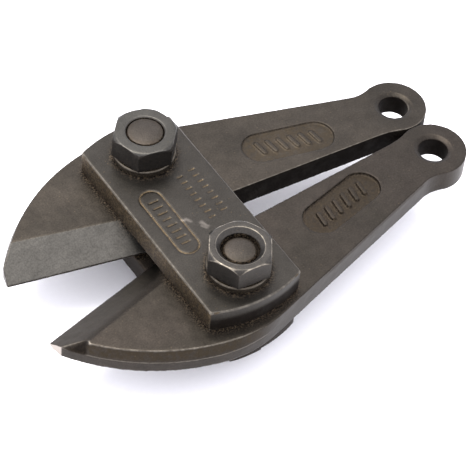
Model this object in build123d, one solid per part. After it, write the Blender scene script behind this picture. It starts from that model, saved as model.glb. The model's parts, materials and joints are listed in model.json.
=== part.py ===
from build123d import *
import os
from math import cos, radians, sin, sqrt

# Bolt cutter head: two forged jaws that swing between two side plates on two shoulder bolts.
# Millimetres. +X runs from the blades to the handle eyes, +Z is up, out of the nuts, and Y = 0 is
# the plane in which the blades meet. The origin is the middle of the footprint, on the surface
# that the bolt heads stand on. The jaws are made closed, about their own pivots, and then opened.

# ---------------------------------------------------------------- driving dimensions
pivot_spacing = 62.2          # between the two pivot bolts
opening_angle = 13.0          # each jaw, from blades shut to fully open
jaw_thickness = 9.75
plate_thickness = 9.7
side_play = 0.05              # between a jaw and the plate on each side of it
running_gap = 0.05            # radial, between a jaw and the shoulder that it turns on

# blade, in a closed jaw's frame: origin on the pivot, +X to the eye, +Y to the other jaw
blade_length = 60.8           # pivot to tip
blade_gap = 0.10              # from the edge to the meeting plane, shut
back_centre_x, back_centre_y = 12.4, 56.05
back_radius = 78.0            # arc of the blade's back, at the upper face
back_draft = 1.5              # the back stands out this much further below the parting line
parting_depth = 4.6           # parting line of the forging, under the upper face
upper_bevel_y = 19.64         # where the main bevel leaves the upper face, at the pivot
upper_bevel_lean = 0.03       # the bevel narrows towards the pivot by this much per mm
upper_bevel_slope = 0.595
lower_bevel_y = 28.15
lower_bevel_lean = -0.022
lower_bevel_slope = 0.80
bevel_end_x = -6.0            # the bevels stop under the plates

# knuckle: the two jaws roll on each other here, with a hair of clearance
knuckle_gap = 0.15
knuckle_flat = 6.0
knuckle_round = 3.0
knuckle_root_x = 17.0
knuckle_root_round = 5.0

# tail and handle eye
outer_line = (-19.94, 0.071)  # outer side of the tail: its y at the pivot, and its slope
inner_line = (22.93, -0.164)
back_round = 45.0             # where the blade's back runs into the tail
eye_x, eye_y = 102.4, -4.8
eye_radius = 12.7
eye_bore_radius = 5.5
eye_mouth_radius, eye_mouth_depth = 7.2, 0.9  # wide chamfer at the upper face
eye_neck_round = 14.0
eye_throat_round = 34.0
edge_break = 0.4              # broken edges of forging and plates

# sunk panel with raised ribs on each tail
panel_x, panel_y = 57.0, 0.8
panel_length, panel_width = 36.2, 14.2
panel_turn = 0.6
panel_depths = {"left": 1.3, "right": 0.8}
rib_count = 6
rib_pitch = 4.4
rib_length, rib_width = 7.0, 1.7
rib_lean = 20.0
rib_below_face = 0.25

# side plates
plate_width = 38.0
plate_end_radius = 47.1       # both ends are arcs about the plate's centre
plate_centre_x = -0.4
plate_corner_round = 1.2
plate_bolt_hole_radius = 7.1

# engraved lines on the upper plate
mark_depth = 0.35
frame_mark_x, frame_mark_y = -9.3, -0.9
frame_mark_length, frame_mark_width, frame_mark_line = 33.0, 9.0, 0.7
dash_width, dash_pitch = 0.7, 3.1
dash_rows = (                 # x and y of a row's middle, number of dashes, length of each
    (frame_mark_x, frame_mark_y, 8, 4.2),
    (5.2, 4.5, 8, 2.8),
    (10.9, 5.5, 8, 2.8),
)

# M14 shoulder bolts, hex nuts and washers
shoulder_radius = 8.0
thread_radius = 6.9
hex_across_flats = 22.0
head_height = 8.8
head_face_radius = 10.5
nut_height = 9.5
nut_bore_radius = 6.95
nut_face_radius = 10.9
nut_seat_radius, nut_seat_height = 10.7, 0.7  # round seat that lifts the hexagon off the washer
hex_chamfer_slope = 0.45
washer_radius, washer_bore_radius, washer_thickness = 11.6, 7.2, 3.0
bolts = {
    "left": dict(hex_turn=-4.4, end_below_nut=2.0, end_chamfer=1.4, countersink_radius=8.6),
    "right": dict(hex_turn=-12.1, end_below_nut=0.0, end_chamfer=0.4, countersink_radius=7.4),
}

# ---------------------------------------------------------------- worked-out values
pivot_y = pivot_spacing / 2
edge_y = pivot_y - blade_gap
knuckle_radius = pivot_y - knuckle_gap
swing = radians(opening_angle)

lower_plate_z = head_height
jaw_z = lower_plate_z + plate_thickness + side_play
jaw_top_z = jaw_z + jaw_thickness
upper_plate_z = jaw_top_z + side_play
washer_z = upper_plate_z + plate_thickness
nut_z = washer_z + washer_thickness
nut_top_z = nut_z + nut_height
shoulder_length = upper_plate_z - head_height
shoulder_bore_radius = shoulder_radius + running_gap

tip_x_open = -blade_length * cos(swing) - edge_y * sin(swing)
eye_end_open = eye_x * cos(swing) - eye_y * sin(swing) + eye_radius
pivot_x = -(tip_x_open + eye_end_open) / 2

sides = {"left": -1, "right": 1}


def on_line(line, x):
    y_at_pivot, slope = line
    return (x, y_at_pivot + slope * x)


def line_meets_circle(line, centre, radius):
    """The point nearer to the blade where a side of the tail crosses a circle."""
    y_at_pivot, slope = line
    offset = y_at_pivot - centre[1]
    a = 1 + slope ** 2
    b = slope * offset - centre[0]
    c = centre[0] ** 2 + offset ** 2 - radius ** 2
    return on_line(line, (-b - sqrt(b * b - a * c)) / a)


# ---------------------------------------------------------------- jaws
def jaw_outline(radius_of_back):
    """Outline of a closed jaw: the blunt tip and the tail's outer side cut off the arc of its back."""
    back_drop = sqrt(radius_of_back ** 2 - (blade_length + back_centre_x) ** 2)
    back_tip = (-blade_length, back_centre_y - back_drop)
    edge_tip = (-blade_length, edge_y)
    back_root = line_meets_circle(outer_line, (back_centre_x, back_centre_y), radius_of_back)
    eye_neck = line_meets_circle(outer_line, (eye_x, eye_y), eye_radius)
    eye_throat = line_meets_circle(inner_line, (eye_x, eye_y), eye_radius)
    roll_start = (0, knuckle_radius)
    roll_end = (knuckle_radius * sin(swing), knuckle_radius * cos(swing))
    flat_end = (roll_end[0] + knuckle_flat * cos(swing), roll_end[1] - knuckle_flat * sin(swing))
    tail_root = on_line(inner_line, knuckle_root_x)
    tail_end = (on_line(inner_line, eye_x), on_line(outer_line, eye_x))
    with BuildSketch() as outline:
        with BuildLine():
            Polyline(back_tip, edge_tip, (bevel_end_x, edge_y), (bevel_end_x, knuckle_radius), roll_start)
            RadiusArc(roll_start, roll_end, knuckle_radius)
            Polyline(roll_end, flat_end, tail_root, *tail_end, back_root)
            RadiusArc(back_root, back_tip, radius_of_back)
        make_face()
        with Locations((eye_x, eye_y)):
            Circle(eye_radius)
        rounds = (
            (flat_end, knuckle_round),
            (tail_root, knuckle_root_round),
            (back_root, back_round),
            (eye_neck, eye_neck_round),
            (eye_throat, eye_throat_round),
        )
        for point, radius in rounds:
            fillet(outline.vertices().sort_by_distance(Vector(*point))[0], radius)
    return outline.sketch


def ground_away(y_at_pivot, lean, slope, face_z, up):
    """Block whose face is a bevel: it leaves face_z along a line and falls towards the edge."""
    along = Vector(1, lean, 0).normalized()
    across = Vector(0, 1, -up * slope)
    normal = along.cross(across).normalized() * up
    plane = Plane(origin=(bevel_end_x, y_at_pivot + lean * bevel_end_x, face_z), x_dir=along, z_dir=normal)
    block = Box(2 * blade_length, 60, 20, align=(Align.MAX, Align.CENTER, Align.MIN))
    return plane * block


def panel(depth):
    """Tool for the sunk panel: a stadium pocket that leaves slanted ribs standing."""
    pocket = extrude(SlotOverall(panel_length, panel_width), depth)
    rib = extrude(SlotOverall(rib_length, rib_width, rotation=90 - rib_lean), depth - rib_below_face)
    for i in range(rib_count):
        pocket -= Pos((i - (rib_count - 1) / 2) * rib_pitch, 0, 0) * rib
    return Pos(panel_x, panel_y, jaw_thickness - depth) * Rot(0, 0, panel_turn) * pocket


def eye_bore():
    """Tool for the handle bolt's hole, with a wide chamfer above and a broken edge below."""
    profile = Polyline(
        (0, 0),
        (eye_bore_radius + edge_break, 0),
        (eye_bore_radius, edge_break),
        (eye_bore_radius, jaw_thickness - eye_mouth_depth),
        (eye_mouth_radius, jaw_thickness),
        (0, jaw_thickness),
        close=True,
    )
    return revolve(Plane.XZ * make_face(profile), Axis.Z)


def closed_jaw(panel_depth):
    """The left jaw, shut, its pivot on the Z axis and its lower face on Z = 0."""
    full = jaw_outline(back_radius + back_draft)
    drawn_in = jaw_outline(back_radius)
    parting_z = jaw_thickness - parting_depth
    lower = extrude(full, parting_z)
    upper = loft([Pos(0, 0, parting_z) * full.face(), Pos(0, 0, jaw_thickness) * drawn_in.face()], ruled=True)
    jaw = lower + upper
    jaw -= ground_away(upper_bevel_y, upper_bevel_lean, upper_bevel_slope, jaw_thickness, 1)
    jaw -= ground_away(lower_bevel_y, lower_bevel_lean, lower_bevel_slope, 0, -1)
    jaw -= Cylinder(shoulder_bore_radius, 3 * jaw_thickness)
    jaw -= Pos(eye_x, eye_y, 0) * eye_bore()
    jaw -= panel(panel_depth)
    return jaw


def open_jaw(side):
    jaw = closed_jaw(panel_depths[side])
    if side == "right":
        jaw = mirror(jaw, Plane.XZ)
    sign = sides[side]
    return Pos(pivot_x, sign * pivot_y, jaw_z) * Rot(0, 0, -sign * opening_angle) * jaw


# ---------------------------------------------------------------- side plates
def side_plate(z, hole_radius):
    bar = Rectangle(plate_width, 4 * plate_end_radius) & Circle(plate_end_radius)
    bar = fillet(bar.vertices(), plate_corner_round)
    plate = extrude(bar, plate_thickness)
    lower_face, *_, upper_face = plate.faces().sort_by(Axis.Z)
    plate = chamfer(lower_face.edges() + upper_face.edges(), edge_break)
    for sign in sides.values():
        plate -= Pos(-plate_centre_x, sign * pivot_y, 0) * Cylinder(hole_radius, 3 * plate_thickness)
    return Pos(pivot_x + plate_centre_x, 0, z) * plate


def upper_plate_marks():
    """Engraving tools: a stadium line and rows of short dashes, no lettering."""
    inner_length = frame_mark_length - 2 * frame_mark_line
    inner_width = frame_mark_width - 2 * frame_mark_line
    ring = SlotOverall(frame_mark_length, frame_mark_width, rotation=90)
    ring -= SlotOverall(inner_length, inner_width, rotation=90)
    marks = Pos(frame_mark_x, frame_mark_y, 0) * extrude(ring, 2 * mark_depth)
    for row_x, row_y, count, length in dash_rows:
        dash = extrude(Rectangle(length, dash_width), 2 * mark_depth)
        for i in range(count):
            marks += Pos(row_x, row_y + (i - (count - 1) / 2) * dash_pitch, 0) * dash
    return Pos(pivot_x, 0, upper_plate_z + plate_thickness - mark_depth) * marks


# ---------------------------------------------------------------- bolts, nuts and washers
def hex_prism(height, turn):
    return Rot(0, 0, turn) * extrude(RegularPolygon(hex_across_flats / 2, 6, major_radius=False), height)


def corner_cone(face_radius, height):
    """Solid of revolution that rounds off a hexagon's corners at its upper end."""
    reach = hex_across_flats
    shoulder_height = height - (reach - face_radius) * hex_chamfer_slope
    profile = Polyline(
        (0, -reach),
        (reach, -reach),
        (reach, shoulder_height),
        (face_radius, height),
        (0, height),
        close=True,
    )
    return revolve(Plane.XZ * make_face(profile), Axis.Z)


def upside_down(cone, height):
    return Pos(0, 0, height) * Rot(180, 0, 0) * cone


def pivot_bolt(side):
    """Hex head, a shoulder that the jaw turns on, and a threaded end."""
    size = bolts[side]
    end_z = nut_top_z - size["end_below_nut"]
    head = hex_prism(head_height, size["hex_turn"])
    head &= upside_down(corner_cone(head_face_radius, head_height), head_height)
    shoulder = Pos(0, 0, head_height) * extrude(Circle(shoulder_radius), shoulder_length)
    thread = Pos(0, 0, upper_plate_z) * extrude(Circle(thread_radius), end_z - upper_plate_z)
    thread = chamfer(thread.edges().sort_by(Axis.Z)[-1], size["end_chamfer"])
    return Pos(pivot_x, sides[side] * pivot_y, 0) * (head + shoulder + thread)


def hex_nut(side):
    size = bolts[side]
    hexagon = hex_prism(nut_height, size["hex_turn"]) & corner_cone(nut_face_radius, nut_height)
    seat = extrude(Circle(nut_seat_radius), nut_seat_height)
    nut = hexagon - extrude(Circle(hex_across_flats), nut_seat_height) + seat
    nut -= Cylinder(nut_bore_radius, 3 * nut_height)
    sink_depth = size["countersink_radius"] - nut_bore_radius
    sink = Cone(nut_bore_radius, size["countersink_radius"], sink_depth)
    nut -= Pos(0, 0, nut_height - sink_depth / 2) * sink
    return Pos(pivot_x, sides[side] * pivot_y, nut_z) * nut


def nut_washer(side):
    disc = extrude(Circle(washer_radius), washer_thickness)
    disc = chamfer(disc.edges().filter_by(GeomType.CIRCLE), edge_break)
    ring = disc - Cylinder(washer_bore_radius, 3 * washer_thickness)
    return Pos(pivot_x, sides[side] * pivot_y, washer_z) * ring


# ---------------------------------------------------------------- write one STEP per piece
nodes = {
    "upper_side_plate": side_plate(upper_plate_z, plate_bolt_hole_radius) - upper_plate_marks(),
    "lower_side_plate": side_plate(lower_plate_z, shoulder_bore_radius),
}
for side in sides:
    nodes[f"{side}_jaw"] = open_jaw(side)
    nodes[f"{side}_pivot_bolt"] = pivot_bolt(side)
    nodes[f"{side}_hex_nut"] = hex_nut(side)
    nodes[f"{side}_washer"] = nut_washer(side)

os.makedirs("parts", exist_ok=True)
for name, shape in nodes.items():
    export_step(shape, f"parts/{name}.step")

print(f"pivot line at x = {pivot_x:.3f}, pivots at y = +-{pivot_y:.2f}, height {nut_top_z:.2f}")
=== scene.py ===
# %% [markdown]
# # A bolt cutter head in forged, blackened steel
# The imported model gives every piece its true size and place, in metres, and says which body it
# moves with. This script keeps that frame and gives each piece the surface of the real one:
# lumpy where it was forged, worn bright at its edges, and brown with old grease in its corners.

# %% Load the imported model
import json
from math import cos, radians, sin

import bmesh
import bpy
import numpy as np
from mathutils import Euler, Matrix, Vector


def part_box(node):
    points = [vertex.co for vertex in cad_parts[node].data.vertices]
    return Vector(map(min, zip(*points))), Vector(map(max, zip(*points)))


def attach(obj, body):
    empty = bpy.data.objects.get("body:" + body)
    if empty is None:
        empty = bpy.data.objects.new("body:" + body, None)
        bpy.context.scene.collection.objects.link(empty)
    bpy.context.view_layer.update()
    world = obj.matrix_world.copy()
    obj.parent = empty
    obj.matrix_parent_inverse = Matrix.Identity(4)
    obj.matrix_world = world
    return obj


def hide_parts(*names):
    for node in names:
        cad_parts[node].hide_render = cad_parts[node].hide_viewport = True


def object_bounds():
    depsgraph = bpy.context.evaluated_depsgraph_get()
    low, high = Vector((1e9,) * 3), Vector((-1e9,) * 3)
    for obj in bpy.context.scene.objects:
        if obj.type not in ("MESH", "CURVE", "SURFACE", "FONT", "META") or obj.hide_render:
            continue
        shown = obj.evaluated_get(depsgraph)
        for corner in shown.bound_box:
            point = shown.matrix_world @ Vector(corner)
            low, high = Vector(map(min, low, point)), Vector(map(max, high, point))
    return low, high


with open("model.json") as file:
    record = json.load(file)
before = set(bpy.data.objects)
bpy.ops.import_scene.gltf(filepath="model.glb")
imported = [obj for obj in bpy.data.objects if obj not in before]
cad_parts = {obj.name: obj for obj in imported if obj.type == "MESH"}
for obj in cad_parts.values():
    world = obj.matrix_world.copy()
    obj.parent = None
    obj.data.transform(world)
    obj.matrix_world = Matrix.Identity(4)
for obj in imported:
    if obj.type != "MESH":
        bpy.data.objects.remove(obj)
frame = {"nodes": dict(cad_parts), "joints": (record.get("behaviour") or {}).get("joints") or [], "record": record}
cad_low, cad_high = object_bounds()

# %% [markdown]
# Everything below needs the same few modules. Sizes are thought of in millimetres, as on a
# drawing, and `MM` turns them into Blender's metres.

MM = 0.001
scene = bpy.context.scene
size_mm = (cad_high - cad_low) / MM
print("the head measures", [round(side, 1) for side in size_mm], "mm")

# %% [markdown]
# ## The camera
# The head is seen from above its left jaw with a long lens, slightly rolled. A camera matrix is
# built from three directions, its right, its up and its back, which is easier to reason about
# than three Euler angles: back points from the object to the camera.

# %% Aim the camera
CAMERA_AZIMUTH, CAMERA_ELEVATION, CAMERA_ROLL = radians(-37.859), radians(49.243), radians(5.898)
CAMERA_DISTANCE = 774.4 * MM
CAMERA_TARGET = Vector((-10.98, -11.07, 28.30)) * MM
CAMERA_LENS, CAMERA_SENSOR = 165.2, 36.0

toward_camera = Vector((
    sin(CAMERA_AZIMUTH) * cos(CAMERA_ELEVATION),
    -cos(CAMERA_AZIMUTH) * cos(CAMERA_ELEVATION),
    sin(CAMERA_ELEVATION),
))
level_right = Vector((cos(CAMERA_AZIMUTH), sin(CAMERA_AZIMUTH), 0))
level_up = toward_camera.cross(level_right)
camera_right = cos(CAMERA_ROLL) * level_right + sin(CAMERA_ROLL) * level_up
camera_up = toward_camera.cross(camera_right)
facing = Matrix((camera_right, camera_up, toward_camera)).transposed()
stand = CAMERA_TARGET + toward_camera * CAMERA_DISTANCE

camera = bpy.data.objects.new("camera", bpy.data.cameras.new("camera"))
camera.data.lens = CAMERA_LENS
camera.data.sensor_width = CAMERA_SENSOR
camera.matrix_world = Matrix.Translation(stand) @ facing.to_4x4()
scene.collection.objects.link(camera)
scene.camera = camera
print("camera at", [round(c / MM) for c in stand], "mm")

# %% [markdown]
# ## Even, dense copies of the CAD meshes
# CAD meshes have a few long triangles and knife-sharp edges. Steel that was hammered in a die,
# blackened and then thrown into a toolbox has neither. Sculpting by hand would do, but a rule
# that works on every piece is quicker: remesh a copy into small even faces, soften it, measure
# how sharply each spot bends, then ripple and dent it a little. Every move goes inwards, so
# pieces that touch never cut into each other.
#
# The rules are sums over thousands of vertices, so they work on whole columns of numbers.
# `ramp` is the brush that all of them use: 0 on one side, 1 on the other, a fade between.

# %% Numbers on vertices
def read_vertices(mesh, what):
    """The 'co' or 'normal' of every vertex, one row each."""
    values = np.empty(len(mesh.vertices) * 3, np.float32)
    mesh.vertices.foreach_get(what, values)
    return values.reshape(-1, 3).astype(float)


def mark(mesh, name, values):
    """Stores one number per vertex, which a material can read as an attribute."""
    mesh.attributes.new(name, "FLOAT", "POINT").data.foreach_set("value", values.astype(np.float32))


def ramp(values, start, end):
    """0 at start, 1 at end and straight in between, whichever of them is larger."""
    return np.clip((values - start) / (end - start), 0, 1)


def upright(normals):
    """1 on walls, 0 on faces that lie flat."""
    return ramp(abs(normals[:, 2]), 0.55, 0.35)


# %% [markdown]
# A ridge stands proud of a smoothed copy of the surface, and a hollow lies below it. That one
# number finds the edges that get rubbed bright and the corners that keep their dirt. Smoothing
# is done by averaging each vertex with its neighbours, round after round. The spread grows only
# with the square root of the rounds, so the width of the worn strip, in faces, is squared.

# %% Measure how sharply a surface bends
WEAR_WIDTH = 0.9 * MM
SHARP_BEND = 0.15 * MM
EVENING_ROUNDS = 3


def blur(mesh, values, rounds):
    """Averages numbers on vertices with their neighbours', again and again."""
    ends = np.empty(len(mesh.edges) * 2, np.int32)
    mesh.edges.foreach_get("vertices", ends)
    starts, stops = ends[0::2], ends[1::2]
    count = len(values)
    neighbours = np.bincount(starts, minlength=count) + np.bincount(stops, minlength=count)
    for _ in range(rounds):
        sums = [np.bincount(starts, column[stops], count) + np.bincount(stops, column[starts], count)
                for column in values.T]
        values = 0.5 * values + 0.5 * np.stack(sums, axis=1) / neighbours[:, None]
    return values


def bends(mesh, grain):
    """How far each vertex stands proud of the smoothed surface, as a share of a sharp edge's."""
    points = read_vertices(mesh, "co")
    relaxed = blur(mesh, points, int((WEAR_WIDTH / grain) ** 2))
    proud = ((points - relaxed) * read_vertices(mesh, "normal")).sum(1) / SHARP_BEND
    return blur(mesh, proud[:, None], EVENING_ROUNDS)[:, 0]


# %% [markdown]
# Remeshing, softening, rippling and thinning are all modifiers. A stack of them is applied in
# one go by asking Blender for the evaluated mesh. The ripples and dents are Displace modifiers
# driven by cloud textures: waves of 4.5 mm everywhere, as a forging die leaves, and short deep
# ones of 1.6 mm only on the ridges, as knocks leave.

# %% The textures that drive ripples and dents
def clouds(name, size, contrast):
    texture = bpy.data.textures.new(name, "CLOUDS")
    texture.noise_scale = size
    texture.noise_depth = 2
    texture.contrast = contrast
    return texture


die_ripples = clouds("die_ripples", 4.5 * MM, 1.2)
toolbox_knocks = clouds("toolbox_knocks", 1.6 * MM, 2.5)


def apply_modifiers(piece):
    """Replaces the mesh by what its modifiers make of it."""
    bpy.context.view_layer.update()
    made = bpy.data.meshes.new_from_object(piece.evaluated_get(bpy.context.evaluated_depsgraph_get()))
    piece.modifiers.clear()
    piece.data = made
    return made


# %% [markdown]
# The first step makes the even mesh. The CAD mesh has its faces split apart at every edge, so
# they are welded first. A voxel remesh then wraps the whole piece in small squares. The piece is
# turned askew while that happens: an edge that nearly follows the voxel grid comes out in long
# steps, and once it is rubbed bright, those steps would look like stitches.

# %% Copy a CAD node and remesh it evenly
WELD = 0.001 * MM
SOFTENING = 2
ASKEW = Euler((0.52, 0.38, 0.66)).to_matrix().to_4x4()


def even_copy(node, name, grain):
    mesh = frame["nodes"][node].data.copy()
    mesh.materials.clear()
    welded = bmesh.new()
    welded.from_mesh(mesh)
    bmesh.ops.remove_doubles(welded, verts=welded.verts, dist=WELD)
    welded.to_mesh(mesh)
    welded.free()
    mesh.transform(ASKEW)
    piece = bpy.data.objects.new(name, mesh)
    scene.collection.objects.link(piece)
    even = piece.modifiers.new("even_faces", "REMESH")
    even.mode = "VOXEL"
    even.voxel_size = grain
    even.use_smooth_shade = True
    soft = piece.modifiers.new("soft_edges", "SMOOTH")
    soft.iterations = SOFTENING
    apply_modifiers(piece).transform(ASKEW.inverted())
    return piece


# %% [markdown]
# The second step works out its marks, one number from 0 to 1 per vertex and kind of surface. A
# piece can bring two rules of its own: `carve` moves its vertices, for a chip or a domed end, and
# `marks` says where it is ground, greasy, rusty, dusty, bare or wiped clean.

# %% Mark a piece's surfaces
SURFACE_MARKS = ("ground", "greasy", "rusty", "dusty", "bare", "wiped")


def mark_surfaces(mesh, grain, marks, carve):
    """Stores every mark on the mesh, and gives how worn each vertex is."""
    points = read_vertices(mesh, "co")
    normals = read_vertices(mesh, "normal")
    if carve:
        mesh.vertices.foreach_set("co", carve(points).astype(np.float32).ravel())
        mesh.update()
    bend = bends(mesh, grain)
    found = dict(worn=np.clip(bend, 0, 1), hollow=np.clip(-bend, 0, 1))
    found.update({name: np.zeros(len(points)) for name in SURFACE_MARKS})
    if marks:
        marks(found, points, normals)
    for name, values in found.items():
        mark(mesh, name, values)
    print(f"  ridges bend {np.percentile(bend, 99):.2f}, hollows {np.percentile(bend, 1):.2f}")
    return found["worn"]


# %% [markdown]
# The third step ages it. The ripples go everywhere, and the knocks follow a vertex group that is
# strongest on the ridges. A Decimate modifier thins the flat stretches at the end, so that no
# piece is heavier than it needs to be.

# %% Age a piece and put it on its body
KNOCK_LEVELS = 8
MOST_TRIANGLES = 190_000


def aged_piece(node, body, grain, ripple, knock, marks=None, carve=None):
    piece = even_copy(node, node + "_aged", grain)
    mesh = piece.data
    worn = mark_surfaces(mesh, grain, marks, carve)
    ridges = piece.vertex_groups.new(name="ridges")
    levels = np.round(worn * KNOCK_LEVELS)
    for level in range(1, KNOCK_LEVELS + 1):
        ridges.add(np.flatnonzero(levels == level).tolist(), level / KNOCK_LEVELS, "REPLACE")
    for texture, depth, group in ((die_ripples, ripple, ""), (toolbox_knocks, knock, "ridges")):
        uneven = piece.modifiers.new(texture.name, "DISPLACE")
        uneven.texture = texture
        uneven.texture_coords = "LOCAL"
        uneven.mid_level = 0.0
        uneven.strength = -depth
        uneven.vertex_group = group
    thin = piece.modifiers.new("thinned", "DECIMATE")
    thin.ratio = min(1.0, MOST_TRIANGLES / (2 * len(mesh.polygons)))
    made = apply_modifiers(piece)
    made.name = piece.name
    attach(piece, body)
    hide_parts(node)
    print(f"{piece.name}: {len(made.polygons)} faces, rides on {body}")
    return piece


# %% [markdown]
# ## The jaws
# Each jaw is one drop forging of chrome-molybdenum steel. Its flat faces and outer wall keep the
# skin of the die, its blade is ground to two bevels that meet in the cutting edge, and its tail
# ends in an eye for the handle's bolt. The frame knows where the pivots and the eyes are.

# %% Where the pivots, eyes and faces of the jaws are
joint_of = {joint["child"]: joint for joint in frame["joints"]}
mount_of = {mount["name"]: mount for mount in frame["record"]["mounts"]}
SIDES = {"left": -1, "right": 1}
jaw_low, jaw_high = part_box("left_jaw")
pivot_x = joint_of["left_jaw"]["pos_m"][0]
print(f"jaws from z = {jaw_low.z / MM:.2f} to {jaw_high.z / MM:.2f} mm")
print(f"pivots at x = {pivot_x / MM:.2f} mm")

# %% [markdown]
# Which surface is which can be told from where a spot lies and which way it faces: only a ground
# bevel slants, and only the walls stand upright. Each share is 1 on one kind of surface and 0
# elsewhere, and the product of two shares is the place where both hold.

# %% Tell a jaw's surfaces apart
BORE_REACH = 6.6 * MM
EYE_RING_REACH = 9 * MM


def jaw_shares(side, points, normals):
    """How much each spot belongs to each surface of a jaw."""
    x, y, z = points.T
    eye = mount_of[side + "_handle_eye"]["pos_m"]
    from_eye = np.hypot(x - eye[0], y - eye[1])
    depth = jaw_high.z - z
    flatness = abs(normals[:, 2])
    inward = -SIDES[side] * normals[:, 1]
    wall = upright(normals)
    blade = ramp(x, pivot_x - 5 * MM, pivot_x - 16 * MM)
    slant = ramp(flatness, 0.94, 0.90) * ramp(flatness, 0.70, 0.76)
    bore = wall * (from_eye < BORE_REACH)
    panel = ramp(x, pivot_x + 30 * MM, pivot_x + 34 * MM) * ramp(from_eye, 17 * MM, 19 * MM)
    panel *= ramp(depth, 0.12 * MM, 0.4 * MM) * (1 - ramp(depth, 1.6 * MM, 2.2 * MM))
    return {
        "depth": depth,
        "inner": wall * ramp(inward, 0.2, 0.5),
        "outer": wall * ramp(-inward, 0.2, 0.5),
        "tail": ramp(x, pivot_x - 2 * MM, pivot_x + 12 * MM),
        "blade": blade,
        "bevel": slant * blade,
        "bore": bore,
        "eye_ring": (from_eye < EYE_RING_REACH) * (1 - bore),
        "panel": panel,
    }


# %% [markdown]
# The left jaw has lost a small chip where its tip, back and top face meet, and has a bright nick
# beside it. A chip is a few vertices pushed down, most in the middle of a short line and not at
# all at its rim.

# %% The chip at the left jaw's tip
CHIP_FROM, CHIP_TO = np.array((-87.8, -23.2)) * MM, np.array((-83.2, -25.8)) * MM
CHIP_REACH, CHIP_CORE, CHIP_DEPTH = 2.3 * MM, 0.8 * MM, 1.5 * MM
CHIP_FADE_FROM, CHIP_FADE_TO = 5.5 * MM, 3 * MM
NICK = np.array((-86.0, -27.6, 27.0)) * MM
NICK_REACH, NICK_CORE = 1.3 * MM, 0.5 * MM


def from_line(points, start, end):
    """Distance of each point, seen from above, from a line between two places."""
    along = end - start
    share = np.clip((points[:, :2] - start) @ along / (along @ along), 0, 1)
    return np.linalg.norm(points[:, :2] - start - share[:, None] * along, axis=1)


def in_chip(points):
    """1 in the middle of the chip, 0 outside it and well under the top face."""
    near = ramp(from_line(points, CHIP_FROM, CHIP_TO), CHIP_REACH, CHIP_CORE)
    return near * ramp(points[:, 2], jaw_high.z - CHIP_FADE_FROM, jaw_high.z - CHIP_FADE_TO)


def chipped(points):
    moved = points.copy()
    moved[:, 2] -= CHIP_DEPTH * in_chip(points)
    return moved


# %% [markdown]
# The left jaw has had the harder life. The back of its blade is rubbed along its upper edge and
# along the forging's parting line, rust has settled between the two, and its bevel is greasy.

# %% What only the left jaw shows
PARTING_DEPTH = 4.9 * MM


def left_jaw_wear(found, points, normals, at):
    x, y, _ = points.T
    found["worn"] *= 0.25 + 0.75 * ramp(x, pivot_x + 6 * MM, pivot_x - 12 * MM)
    found["worn"] *= 1 - 0.9 * ramp(-y, 22 * MM, 18 * MM) * at["blade"]
    parting = at["outer"] * ramp(abs(at["depth"] - PARTING_DEPTH), 0.6 * MM, 0.1 * MM)
    parting *= ramp(x, pivot_x + 9 * MM, pivot_x)
    found["worn"] = np.maximum(found["worn"], 0.45 * parting)
    above_parting = at["outer"] * ramp(at["depth"], 4.6 * MM, 3.6 * MM)
    found["rusty"] += 0.6 * above_parting * ramp(x, pivot_x + 4 * MM, pivot_x - 8 * MM)
    found["greasy"] += 0.6 * at["bevel"] * ramp(at["depth"], 2.6 * MM, 0.6 * MM)
    chip = in_chip(points)
    found["worn"] *= 1 - chip
    found["greasy"] += 0.8 * chip
    tip_face = ramp(-normals[:, 0], 0.86, 0.95) * (x < jaw_low.x + 4 * MM) * (1 - chip)
    nick = ramp(np.linalg.norm(points - NICK, axis=1), NICK_REACH, NICK_CORE)
    found["bare"] = np.maximum(tip_face, 0.7 * nick)


# %% [markdown]
# On both jaws, hands and bolts keep the ring round each eye clean, grease lines the bores and the
# tails' inner walls, and the sunk panels hold thin rust and dust.

# %% Mark a jaw
PANEL_DIRT = {"left": 0.35, "right": 0.05}
PANEL_RUST = {"left": 0.3, "right": 0.4}
PANEL_DUST = {"left": 0.12, "right": 0.1}


def jaw_marks(side):
    """The rule that marks one jaw's surfaces."""
    def marks(found, points, normals):
        at = jaw_shares(side, points, normals)
        found["worn"] *= 1 - 0.7 * at["panel"]
        found["hollow"] *= 1 - 0.7 * at["panel"]
        found["wiped"] = at["eye_ring"]
        found["worn"] += 0.25 * at["eye_ring"] * ramp(normals[:, 2], 0.95, 0.90)
        found["ground"] = at["bevel"]
        found["greasy"] = at["inner"] * at["tail"] + at["bore"] + 0.05 * at["outer"]
        found["greasy"] += PANEL_DIRT[side] * at["panel"]
        found["rusty"] = PANEL_RUST[side] * at["panel"]
        found["dusty"] = PANEL_DUST[side] * at["panel"]
        if side == "left":
            left_jaw_wear(found, points, normals, at)
        else:
            found["worn"] *= 0.22 + 0.6 * ramp(points[:, 1], 18 * MM, 10 * MM) * at["tail"]
        found["greasy"] = np.clip(found["greasy"], 0, 1)

    return marks


# %% [markdown]
# Forgings ripple the most, by a tenth of a millimetre. Faces of 0.32 mm are small enough to keep
# the chip and the ribs in the panels.

# %% Make both jaws
JAW_GRAIN = 0.32 * MM
pieces = {}
for side in SIDES:
    pieces[side + "_jaw"] = aged_piece(
        side + "_jaw", side + "_jaw", JAW_GRAIN, ripple=0.10 * MM, knock=0.14 * MM,
        marks=jaw_marks(side), carve=chipped if side == "left" else None)

# %% [markdown]
# ## The side plates
# Both plates are lengths of flat bar, sawn, rounded at the ends and blackened. The upper one
# carries engraved lines, which hold a little rust. A spot in an engraved line faces up, lies
# just under the plate's face and is well inside its outline. Between the two nuts, something
# hard has left a few scuffs: short strokes that are faint and bare.

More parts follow.
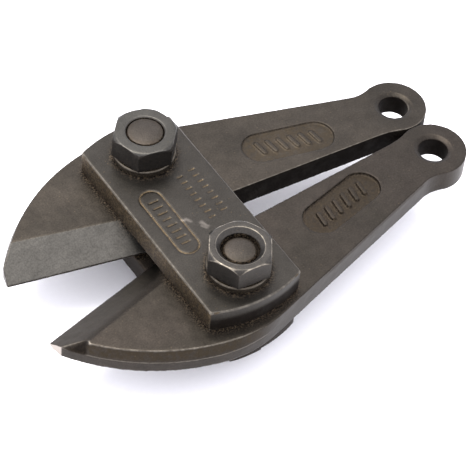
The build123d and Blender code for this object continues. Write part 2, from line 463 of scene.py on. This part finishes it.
# %% Tell a plate's surfaces apart
plate_low, plate_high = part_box("upper_side_plate")
PLATE_BORDER, PLATE_END_BORDER = 1.5 * MM, 3 * MM
SCUFFS = np.array((
    ((-23.6, -6.7), (-21.9, -9.4)), ((-22.9, -6.4), (-22.4, -8.6)), ((-24.0, -8.2), (-22.8, -9.9)),
    ((-27.4, -2.6), (-26.2, -4.6)), ((-26.9, -2.8), (-26.5, -4.2)), ((-28.9, -2.2), (-27.9, -3.1)),
)) * MM
SCUFF_REACH = 0.7 * MM
SCUFF_BARE = 0.2


def plate_marks(found, points, normals):
    x, y, z = points.T
    depth = plate_high.z - z
    inside = (x > plate_low.x + PLATE_BORDER) & (x < plate_high.x - PLATE_BORDER)
    inside = inside & (abs(y) < plate_high.y - PLATE_END_BORDER)
    engraved = inside * ramp(depth, 0.05 * MM, 0.14 * MM) * ramp(depth, 0.9 * MM, 0.6 * MM)
    near_end = ramp(-normals[:, 1], 0.6, 0.8)
    long_wall = upright(normals) * (1 - near_end)
    # The long walls carry grease and dust, and are darker towards the bottom and lighter towards the top.
    wall_grease_darker_low = long_wall * (0.42 + 0.18 * ramp(depth, 2 * MM, 8 * MM))
    wall_dust_lighter_high = long_wall * (0.9 - 0.4 * ramp(depth, 3 * MM, 9 * MM))
    # painted shade: the lower part of the end wall facing -y is darkened with the grease colour, for the shadow
    # and dark reflection there
    painted_shade_low_on_end = near_end * upright(normals) * ramp(depth, 2.8 * MM, 4.6 * MM)
    scuffed = sum(ramp(from_line(points, start, end), SCUFF_REACH, 0) for start, end in SCUFFS)
    found["worn"] *= 0.8 * (1 - 0.9 * engraved)
    found["hollow"] *= 1 - 0.9 * engraved
    found["dusty"] = 0.65 * engraved + wall_dust_lighter_high
    found["wiped"] = engraved
    found["greasy"] = np.clip(wall_grease_darker_low + painted_shade_low_on_end, 0, 1)
    found["bare"] = SCUFF_BARE * np.clip(scuffed, 0, 1) * (depth < 0.3 * MM)


def lower_plate_marks(found, points, normals):
    found["worn"] *= 0.3
    found["greasy"] += 0.4


# %% [markdown]
# Flat bar is flatter than a forging, so the plates ripple by only 0.03 mm. The lower plate is
# nearly hidden and takes coarser faces.

# %% Make both plates
PLATE_GRAIN = 0.28 * MM
HIDDEN_GRAIN = 0.40 * MM
pieces["upper_side_plate"] = aged_piece(
    "upper_side_plate", "plates", PLATE_GRAIN, ripple=0.03 * MM, knock=0.10 * MM,
    marks=plate_marks)
pieces["lower_side_plate"] = aged_piece(
    "lower_side_plate", "plates", HIDDEN_GRAIN, ripple=0.03 * MM, knock=0.10 * MM,
    marks=lower_plate_marks)

# %% [markdown]
# ## Bolts, nuts and washers
# The bolts' ends are turned and slightly domed, with a groove where they meet the nut. The
# groove is darkened with the grease colour as painted shade.

# %% The bolts' ends
END_FACE = {"left": 5.8 * MM, "right": 6.4 * MM}
END_DOME = 0.35 * MM
GROOVE = 0.9 * MM


def from_axis(points, side):
    """Distance of each point from a pivot's axis."""
    axis = joint_of[side + "_jaw"]["pos_m"]
    return np.hypot(points[:, 0] - axis[0], points[:, 1] - axis[1])


def bolt_rules(side):
    """How one bolt is marked, and how its end is domed."""
    bolt_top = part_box(side + "_pivot_bolt")[1].z
    face = END_FACE[side]

    def marks(found, points, normals):
        away = from_axis(points, side)
        # painted shade: the groove round the bolt end is darkened with the grease colour
        shaded_groove = ramp(away, face - 0.1 * MM, face + 0.3 * MM)
        shaded_groove *= ramp(points[:, 2], plate_high.z, plate_high.z + MM)
        found["worn"] *= 0.3 * (1 - shaded_groove)
        found["greasy"] = shaded_groove
        found["rusty"] = 0.4 * ramp(away, face - 2 * MM, face)

    def domed(points):
        moved = points.copy()
        on_end = ramp(points[:, 2], bolt_top - 1.5 * MM, bolt_top - 0.5 * MM)
        away = from_axis(points, side)
        drop = END_DOME * (away / face) ** 2 + GROOVE * ramp(away, face, face + 0.4 * MM)
        moved[:, 2] -= on_end * drop
        return moved

    return marks, domed


# %% [markdown]
# Spanners have rounded the nuts' corners at the top. A corner is drawn in to a radius that grows
# on the way down, so the lower corners stay whole. The left nut has been on and off more often,
# and its rim is rubbed far brighter than the other's.

# %% The nuts' corners and the washers
SPANNER_WEAR_RADIUS = 11.2 * MM
CORNER_SLOPE = 0.9
NUT_WEAR = {"left": 0.92, "right": 0.7}
# The nuts' walls are darkened with the grease colour: some grease, and on the right nut mostly painted shade
# standing in for the dark reflections of its facets.
NUT_WALL_GREASE_AND_SHADE = {"left": 0.35, "right": 0.75}


def nut_rules(side):
    """How one nut is marked, and how its corners are rounded."""
    nut_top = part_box(side + "_hex_nut")[1].z
    axis = np.array(joint_of[side + "_jaw"]["pos_m"][:2])

    def marks(found, points, normals):
        rim = ramp(points[:, 2], nut_top - 1.6 * MM, nut_top - 0.6 * MM)
        found["worn"] *= NUT_WEAR[side] * (0.35 + 0.65 * rim)
        found["greasy"] = NUT_WALL_GREASE_AND_SHADE[side] * upright(normals)

    def rounded(points):
        limit = SPANNER_WEAR_RADIUS + CORNER_SLOPE * (nut_top - points[:, 2])
        drawn_in = np.minimum(1, limit / from_axis(points, side))
        moved = points.copy()
        moved[:, :2] = axis + (points[:, :2] - axis) * drawn_in[:, None]
        return moved

    return marks, rounded


def washer_marks(found, points, normals):
    found["worn"] *= 0.6
    found["greasy"] = 0.1 + 0.25 * upright(normals)
    found["rusty"] += 0.25
    found["wiped"] += 0.55


# %% [markdown]
# These are the smallest pieces and the ones with the finest edges, so they get the finest faces.

# %% Make the bolts, nuts and washers
SMALL_GRAIN = 0.17 * MM
BOLT_GRAIN = 0.24 * MM
for side in SIDES:
    bolt_marks, domed_end = bolt_rules(side)
    nut_marks, rounded_corners = nut_rules(side)
    pieces[side + "_pivot_bolt"] = aged_piece(
        side + "_pivot_bolt", "plates", BOLT_GRAIN, ripple=0.03 * MM, knock=0.08 * MM,
        marks=bolt_marks, carve=domed_end)
    pieces[side + "_hex_nut"] = aged_piece(
        side + "_hex_nut", "plates", SMALL_GRAIN, ripple=0.04 * MM, knock=0.14 * MM,
        marks=nut_marks, carve=rounded_corners)
    pieces[side + "_washer"] = aged_piece(
        side + "_washer", "plates", SMALL_GRAIN, ripple=0.03 * MM, knock=0.10 * MM,
        marks=washer_marks)

# %% [markdown]
# ## Two small helpers for materials
# Colours are written as the sRGB hex values that a colour picker shows. Blender's nodes work with
# linear light, so one function converts them. Another adds a node, sets it and links it in one
# line, so that a material reads from top to bottom like a recipe.

# %% Colours and nodes
def colour(hex_code):
    """An sRGB hex colour as linear red, green, blue and alpha."""
    channels = [int(hex_code[i:i + 2], 16) / 255 for i in (1, 3, 5)]
    linear = [c / 12.92 if c <= 0.04045 else ((c + 0.055) / 1.055) ** 2.4 for c in channels]
    return (*linear, 1.0)


def add(tree, kind, feeds=None, **settings):
    """Adds a node. feeds gives its sockets, by name or number, a constant, a node or its output."""
    node = tree.nodes.new("ShaderNode" + kind)
    for name, value in settings.items():
        setattr(node, name, value)
    for socket, value in (feeds or {}).items():
        if isinstance(value, bpy.types.Node):
            tree.links.new(value.outputs[0], node.inputs[socket])
        elif isinstance(value, bpy.types.NodeSocket):
            tree.links.new(value, node.inputs[socket])
        else:
            node.inputs[socket].default_value = value
    return node


# %% [markdown]
# ## Blackened steel, in layers
# Hot black oxide is a skin of magnetite, a thousandth of a millimetre thick. It is still a
# metal's surface, so it stays metallic with a nearly black base colour, and its roughness is that
# of the steel under it. Real ageing comes in layers, and so does the material: mottled oxide,
# then ground steel where the blade was sharpened, then rust stains, then dirt, with painted shade
# darkening the corners, and last the bare metal that shows where everything above has been rubbed off.
#
# Every layer is broken up by the same few noises, named for the size of their blotches.

# %% Noises, in real sizes
def noises(tree, grain_size):
    place = add(tree, "TexCoord").outputs["Object"]
    kinds = {
        "finger_wide": (22 * MM, 3.0, 0.5),  # coarse: how unevenly the oxide bath took
        "mottle": (5 * MM, 6.0, 0.6),        # coarse: where hands and grease have been
        "patch": (1.8 * MM, 4.0, 0.5),
        "crumb": (0.6 * MM, 1.0, 0.5),
        "grain": (grain_size, 3.0, 0.5),
    }
    return {
        name: add(tree, "TexNoise", {
            "Vector": place, "Scale": 1 / size, "Detail": detail, "Roughness": roughness})
        for name, (size, detail, roughness) in kinds.items()
    }


# %% [markdown]
# The lowest layer is the skin itself. Two close blacks drift into each other, and on the bevel
# the steel is greyer and has streaks that run along the edge, as a grinding belt leaves them.
# Mottling and fine grain then make the tone of both a little uneven.

# %% Oxide and ground steel
def oxide_skin(tree, noise, oxide, cloudy):
    blend = add(tree, "MapRange", {"Value": noise["finger_wide"], "From Min": 0.35, "From Max": 0.65})
    return add(tree, "MixRGB", {"Fac": blend, "Color1": colour(oxide), "Color2": colour(cloudy)})


def sharpened(tree, found, under, ground):
    place = add(tree, "TexCoord").outputs["Object"]
    along_edge = add(tree, "Mapping", {
        "Vector": place, "Rotation": (0, 0, radians(12)), "Scale": (0.08, 1.0, 0.3)})
    belt = add(tree, "TexNoise", {"Vector": along_edge, "Scale": 1 / (0.7 * MM), "Detail": 2.0})
    streak = add(tree, "MapRange", {
        "Value": belt, "From Min": 0.3, "From Max": 0.7, "To Min": 0.94, "To Max": 1.06})
    steel = add(tree, "MixRGB", {"Fac": 1.0, "Color1": colour(ground), "Color2": streak},
                blend_type="MULTIPLY")
    return add(tree, "MixRGB", {"Fac": found["ground"], "Color1": under, "Color2": steel})


def uneven_tone(tree, pattern, under, swing):
    tone = add(tree, "MapRange", {
        "Value": pattern, "From Min": 0.3, "From Max": 0.7, "To Min": 1 - swing, "To Max": 1 + swing})
    return add(tree, "MixRGB", {"Fac": 1.0, "Color1": under, "Color2": tone}, blend_type="MULTIPLY")


# %% [markdown]
# Rust on an oiled tool is a thin brown stain, darker than the orange of bare rusty iron. Where it
# has dried it leaves a lighter dust. Both break up into patches, and a few loose specks lie
# everywhere.

# %% Rust and dust
RUST_STAIN = "#2f281d"
RUST_DUST = "#564a38"


def rusted(tree, noise, found, under):
    patchy = add(tree, "MapRange", {
        "Value": noise["patch"], "From Min": 0.35, "From Max": 0.55, "To Min": 0.25})
    stains = add(tree, "Math", {0: patchy, 1: found["rusty"]}, operation="MULTIPLY")
    stained = add(tree, "MixRGB", {"Fac": stains, "Color1": under, "Color2": colour(RUST_STAIN)})
    dust = add(tree, "Math", {0: patchy, 1: found["dusty"]}, operation="MULTIPLY")
    dusted = add(tree, "MixRGB", {"Fac": dust, "Color1": stained, "Color2": colour(RUST_DUST)})
    specks = add(tree, "MapRange", {
        "Value": noise["crumb"], "From Min": 0.72, "From Max": 0.80, "To Max": 0.6})
    return add(tree, "MixRGB", {"Fac": specks, "Color1": dusted, "Color2": colour(RUST_DUST)})


# %% [markdown]
# Old grease gathers in hollows and on the walls nobody wipes, and the marks on the mesh say where.
# Where pieces meet, ambient occlusion darkens the steel to the same near-black, as painted shade.
# Dry specks stick in it, fewer where it is still wet. Grease, specks and painted shade hide the
# metal, so the shader needs to know how dirty or shaded and how dry each spot is, and its colour.

# %% Dirt, and painted shade in corners
# near-black of old grease, also used as painted shade in occluded corners
GREASE_AND_SHADE = "#100b07"
DRY_SPECK = "#66563f"
CORNER_REACH = 5 * MM


# grease from the marks, plus painted shade wherever ambient occlusion finds a corner
def how_dirty_or_shaded(tree, noise, found, occluded_shade):
    unwiped = add(tree, "MapRange", {"Value": found["wiped"], "To Min": 1.0, "To Max": 0.0})
    unwiped_shade = add(tree, "Math", {0: occluded_shade, 1: unwiped}, operation="MULTIPLY")
    corner = add(tree, "Math", {0: unwiped_shade, 1: found["hollow"]}, operation="MAXIMUM")
    anywhere = add(tree, "Math", {0: corner, 1: found["greasy"]}, operation="MAXIMUM")
    clinging = add(tree, "MapRange", {
        "Value": noise["mottle"], "From Min": 0.30, "From Max": 0.55, "To Min": 0.7})
    return add(tree, "Math", {0: anywhere, 1: clinging}, operation="MULTIPLY")


def how_dry(tree, noise, found, occluded_shade):
    crumbs = add(tree, "MapRange", {"Value": noise["crumb"], "From Min": 0.42, "From Max": 0.70})
    caught = add(tree, "MapRange", {
        "Value": occluded_shade, "From Max": 0.4, "To Min": 0.1, "To Max": 0.65})
    settled = add(tree, "Math", {0: caught, 1: found["dusty"]}, operation="MAXIMUM")
    loose = add(tree, "Math", {0: crumbs, 1: settled}, operation="MULTIPLY")
    not_wet = add(tree, "MapRange", {
        "Value": found["greasy"], "From Min": 0.6, "To Min": 1.0, "To Max": 0.15})
    return add(tree, "Math", {0: loose, 1: not_wet}, operation="MULTIPLY")


def soiled_and_shaded(tree, dirt_and_shade, dry, under):
    crust = add(tree, "MixRGB", {"Fac": dry, "Color1": colour(GREASE_AND_SHADE), "Color2": colour(DRY_SPECK)})
    return add(tree, "MixRGB", {"Fac": dirt_and_shade, "Color1": under, "Color2": crust})


# %% [markdown]
# What has been rubbed or cut shows metal again: dull and broken up on worn edges, and clean where
# a face is fresh.

# %% Bare metal
FRESH_STEEL = "#9c958e"


def rubbed_bare(tree, noise, found, under, worn_steel):
    rubbed = add(tree, "MapRange", {"Value": found["worn"], "From Min": 0.25, "From Max": 0.85})
    missed = add(tree, "MapRange", {
        "Value": noise["patch"], "From Min": 0.68, "From Max": 0.38, "To Min": 0.35, "To Max": 0.95})
    shown = add(tree, "Math", {0: rubbed, 1: missed}, operation="MULTIPLY")
    worn = add(tree, "MixRGB", {"Fac": shown, "Color1": under, "Color2": colour(worn_steel)})
    return add(tree, "MixRGB", {"Fac": found["bare"], "Color1": worn, "Color2": colour(FRESH_STEEL)})


# %% [markdown]
# The recipe stacks the layers. Its last lines set how the surface shines: grease and the painted
# corner shade dull the steel and, with the crumbs, hide it, and ground steel is a little smoother than oxide.

# %% The steel recipe
ROUGHNESS_SWING = 0.06
GREASE_DULLS, GRINDING_SMOOTHS = 0.4, -0.08
LEAST_HIDING = 0.12
GRAIN_HEIGHT = 0.05 * MM


def blackened_steel(name, oxide, cloudy, ground, roughness, grain_size, relief,
                    worn_steel="#8d877c"):
    material = bpy.data.materials.new(name)
    material.use_nodes = True
    tree = material.node_tree
    tree.nodes.clear()
    noise = noises(tree, grain_size)
    found = {word: add(tree, "Attribute", attribute_name=word).outputs["Fac"]
             for word in ("worn", "hollow", *SURFACE_MARKS)}
    # ambient occlusion, which the layers below turn into painted shade in the corners
    corner_occlusion = add(tree, "AmbientOcclusion", {"Distance": CORNER_REACH}, samples=8).outputs["AO"]
    occluded_shade = add(tree, "MapRange", {"Value": corner_occlusion, "From Min": 0.82, "From Max": 0.45})

    skin = oxide_skin(tree, noise, oxide, cloudy)
    skin = sharpened(tree, found, skin, ground)
    skin = uneven_tone(tree, noise["mottle"], skin, 0.12)
    skin = uneven_tone(tree, noise["grain"], skin, 0.20)
    skin = rusted(tree, noise, found, skin)
    # painted shade: occluded corners are darkened with the grease colour, together with the real grease
    dirt_and_shade = how_dirty_or_shaded(tree, noise, found, occluded_shade)
    dry = how_dry(tree, noise, found, occluded_shade)
    skin = soiled_and_shaded(tree, dirt_and_shade, dry, skin)
    skin = rubbed_bare(tree, noise, found, skin, worn_steel)

    clean = add(tree, "MapRange", {
        "Value": noise["grain"],
        "To Min": roughness - ROUGHNESS_SWING, "To Max": roughness + ROUGHNESS_SWING})
    dulled = add(tree, "Math", {0: dirt_and_shade, 1: GREASE_DULLS, 2: clean},
                 operation="MULTIPLY_ADD", use_clamp=True)
    shine = add(tree, "Math", {0: found["ground"], 1: GRINDING_SMOOTHS, 2: dulled},
                operation="MULTIPLY_ADD", use_clamp=True)
    hiding = add(tree, "MapRange", {"Value": dry, "To Min": LEAST_HIDING})
    hidden = add(tree, "Math", {0: dirt_and_shade, 1: hiding}, operation="MULTIPLY")
    still_metal = add(tree, "Math", {0: 1.0, 1: hidden}, operation="SUBTRACT")
    bumps = add(tree, "Bump", {"Height": noise["grain"], "Strength": relief, "Distance": GRAIN_HEIGHT})
    steel = add(tree, "BsdfPrincipled", {
        "Base Color": skin, "Metallic": still_metal, "Roughness": shine, "Normal": bumps})
    add(tree, "OutputMaterial", {"Surface": steel})
    return material


# %% [markdown]
# One recipe, several finishes. What differs is how the surface was made: the forgings have a
# coarser grain than ground bar, the turned bolt ends are smoother, and the left nut's bare metal
# is the brightest. Dirt, rust and the painted shade in corners are the same everywhere.

# %% The finishes
FORGED_GRAIN, BAR_GRAIN = 0.6 * MM, 0.5 * MM
finishes = {
    # drop-forged chrome-molybdenum steel, blasted and blackened: a soft brown sheen with a grain
    # that can just be felt; its belt-ground bevel is clean and greyer
    "right_jaw": blackened_steel(
        "drop_forged_steel_sharpened", oxide="#38342f", cloudy="#2f2c28", ground="#504e49",
        roughness=0.44, grain_size=FORGED_GRAIN, relief=0.25),
    # the same forging with years of grease on it: darker, and its bevel is stained brown
    "left_jaw": blackened_steel(
        "drop_forged_steel_stained", oxide="#322e2a", cloudy="#2d2a26", ground="#36322d",
        roughness=0.44, grain_size=FORGED_GRAIN, relief=0.25),
    # ground flat bar, blackened in hot salts: flat and even, with a tighter, cooler sheen
    "upper_side_plate": blackened_steel(
        "ground_bar_black_oxide", oxide="#33312e", cloudy="#2f2d2a", ground="#33312e",
        roughness=0.42, grain_size=BAR_GRAIN, relief=0.2),
    # the same bar as it lies on the bench: duller and browner
    "lower_side_plate": blackened_steel(
        "sawn_bar_black_oxide", oxide="#332f2b", cloudy="#2d2925", ground="#332f2b",
        roughness=0.5, grain_size=BAR_GRAIN, relief=0.2),
    # a machined nut that spanners have polished: the smoothest steel, with bright edges
    "left_hex_nut": blackened_steel(
        "nut_steel_rubbed", oxide="#3e3c39", cloudy="#3a3835", ground="#3e3c39",
        roughness=0.36, grain_size=BAR_GRAIN, relief=0.2, worn_steel="#a89f90"),
    # the other nut still has its black oxide: its edges are only dull grey
    "right_hex_nut": blackened_steel(
        "nut_steel_black_oxide", oxide="#403f3c", cloudy="#3a3936", ground="#403f3c",
        roughness=0.40, grain_size=BAR_GRAIN, relief=0.2, worn_steel="#74716b"),
    # turned and blackened bolt ends: an even brown-black that catches the sky
    "bolt": blackened_steel(
        "turned_steel_oxide", oxide="#3c3834", cloudy="#33302c", ground="#3c3834",
        roughness=0.42, grain_size=BAR_GRAIN, relief=0.25),
    # stamped washers, lighter where the oxide is thin
    "washer": blackened_steel(
        "stamped_steel_oxide", oxide="#433e37", cloudy="#3a352e", ground="#433e37",
        roughness=0.42, grain_size=BAR_GRAIN, relief=0.2),
}
for name, piece in pieces.items():
    finish = finishes.get(name) or finishes[name.rsplit("_", 1)[1]]
    piece.data.materials.append(finish)
    print(f"{piece.name}: {finish.name}")

# %% [markdown]
# ## Floor and light
# The head lies on white paper. Paper is never one flat white: its fibres make it a little
# cloudy, two millimetres at a time, and it has no gloss.

# %% White paper
FLOOR_HALF = 2.5
floor_mesh = bpy.data.meshes.new("paper_floor")
sheet = bmesh.new()
bmesh.ops.create_grid(sheet, x_segments=1, y_segments=1, size=FLOOR_HALF)
sheet.to_mesh(floor_mesh)
sheet.free()
floor = bpy.data.objects.new("paper_floor", floor_mesh)
scene.collection.objects.link(floor)

paper = bpy.data.materials.new("white_paper")
paper.use_nodes = True
paper_tree = paper.node_tree
paper_tree.nodes.clear()
fibres = add(paper_tree, "TexNoise", {
    "Vector": add(paper_tree, "TexCoord").outputs["Object"], "Scale": 1 / (2 * MM), "Detail": 3.0})
paper_tone = add(paper_tree, "MixRGB", {
    "Fac": fibres, "Color1": colour("#f3f3f5"), "Color2": colour("#f8f8fa")})
matt = add(paper_tree, "BsdfPrincipled", {"Base Color": paper_tone, "Roughness": 0.9})
add(paper_tree, "OutputMaterial", {"Surface": matt})
floor_mesh.materials.append(paper)

# %% [markdown]
# An even white sky is bright enough to burn the paper out to pure white. One large soft lamp
# above and behind the head gives the shadows a direction and the flat faces their sheen.

# %% Sky and lamp
SKY_STRENGTH = 2.35
world = bpy.data.worlds.new("studio")
world.use_nodes = True
sky = world.node_tree.nodes["Background"]
sky.inputs["Color"].default_value = colour("#f8f7ff")
sky.inputs["Strength"].default_value = SKY_STRENGTH
scene.world = world

SOFTBOX_PLACE = Vector((-0.08, 0.34, 1.12))
SOFTBOX_SIDE, SOFTBOX_WATTS = 0.7, 16.0
softbox = bpy.data.objects.new("key", bpy.data.lights.new("key", "AREA"))
softbox.data.size = SOFTBOX_SIDE
softbox.data.energy = SOFTBOX_WATTS
softbox.data.color = colour("#fff9f0")[:3]
softbox.location = SOFTBOX_PLACE
softbox.rotation_mode = "QUATERNION"
softbox.rotation_quaternion = SOFTBOX_PLACE.to_track_quat("Z", "Y")
scene.collection.objects.link(softbox)
scene.view_settings.view_transform = "Standard"

# %% [markdown]
# The CAD model's box is written down, in millimetres.

# %% The CAD model's box
print("CAD box", [round(side / MM, 2) for side in cad_high - cad_low], "mm")
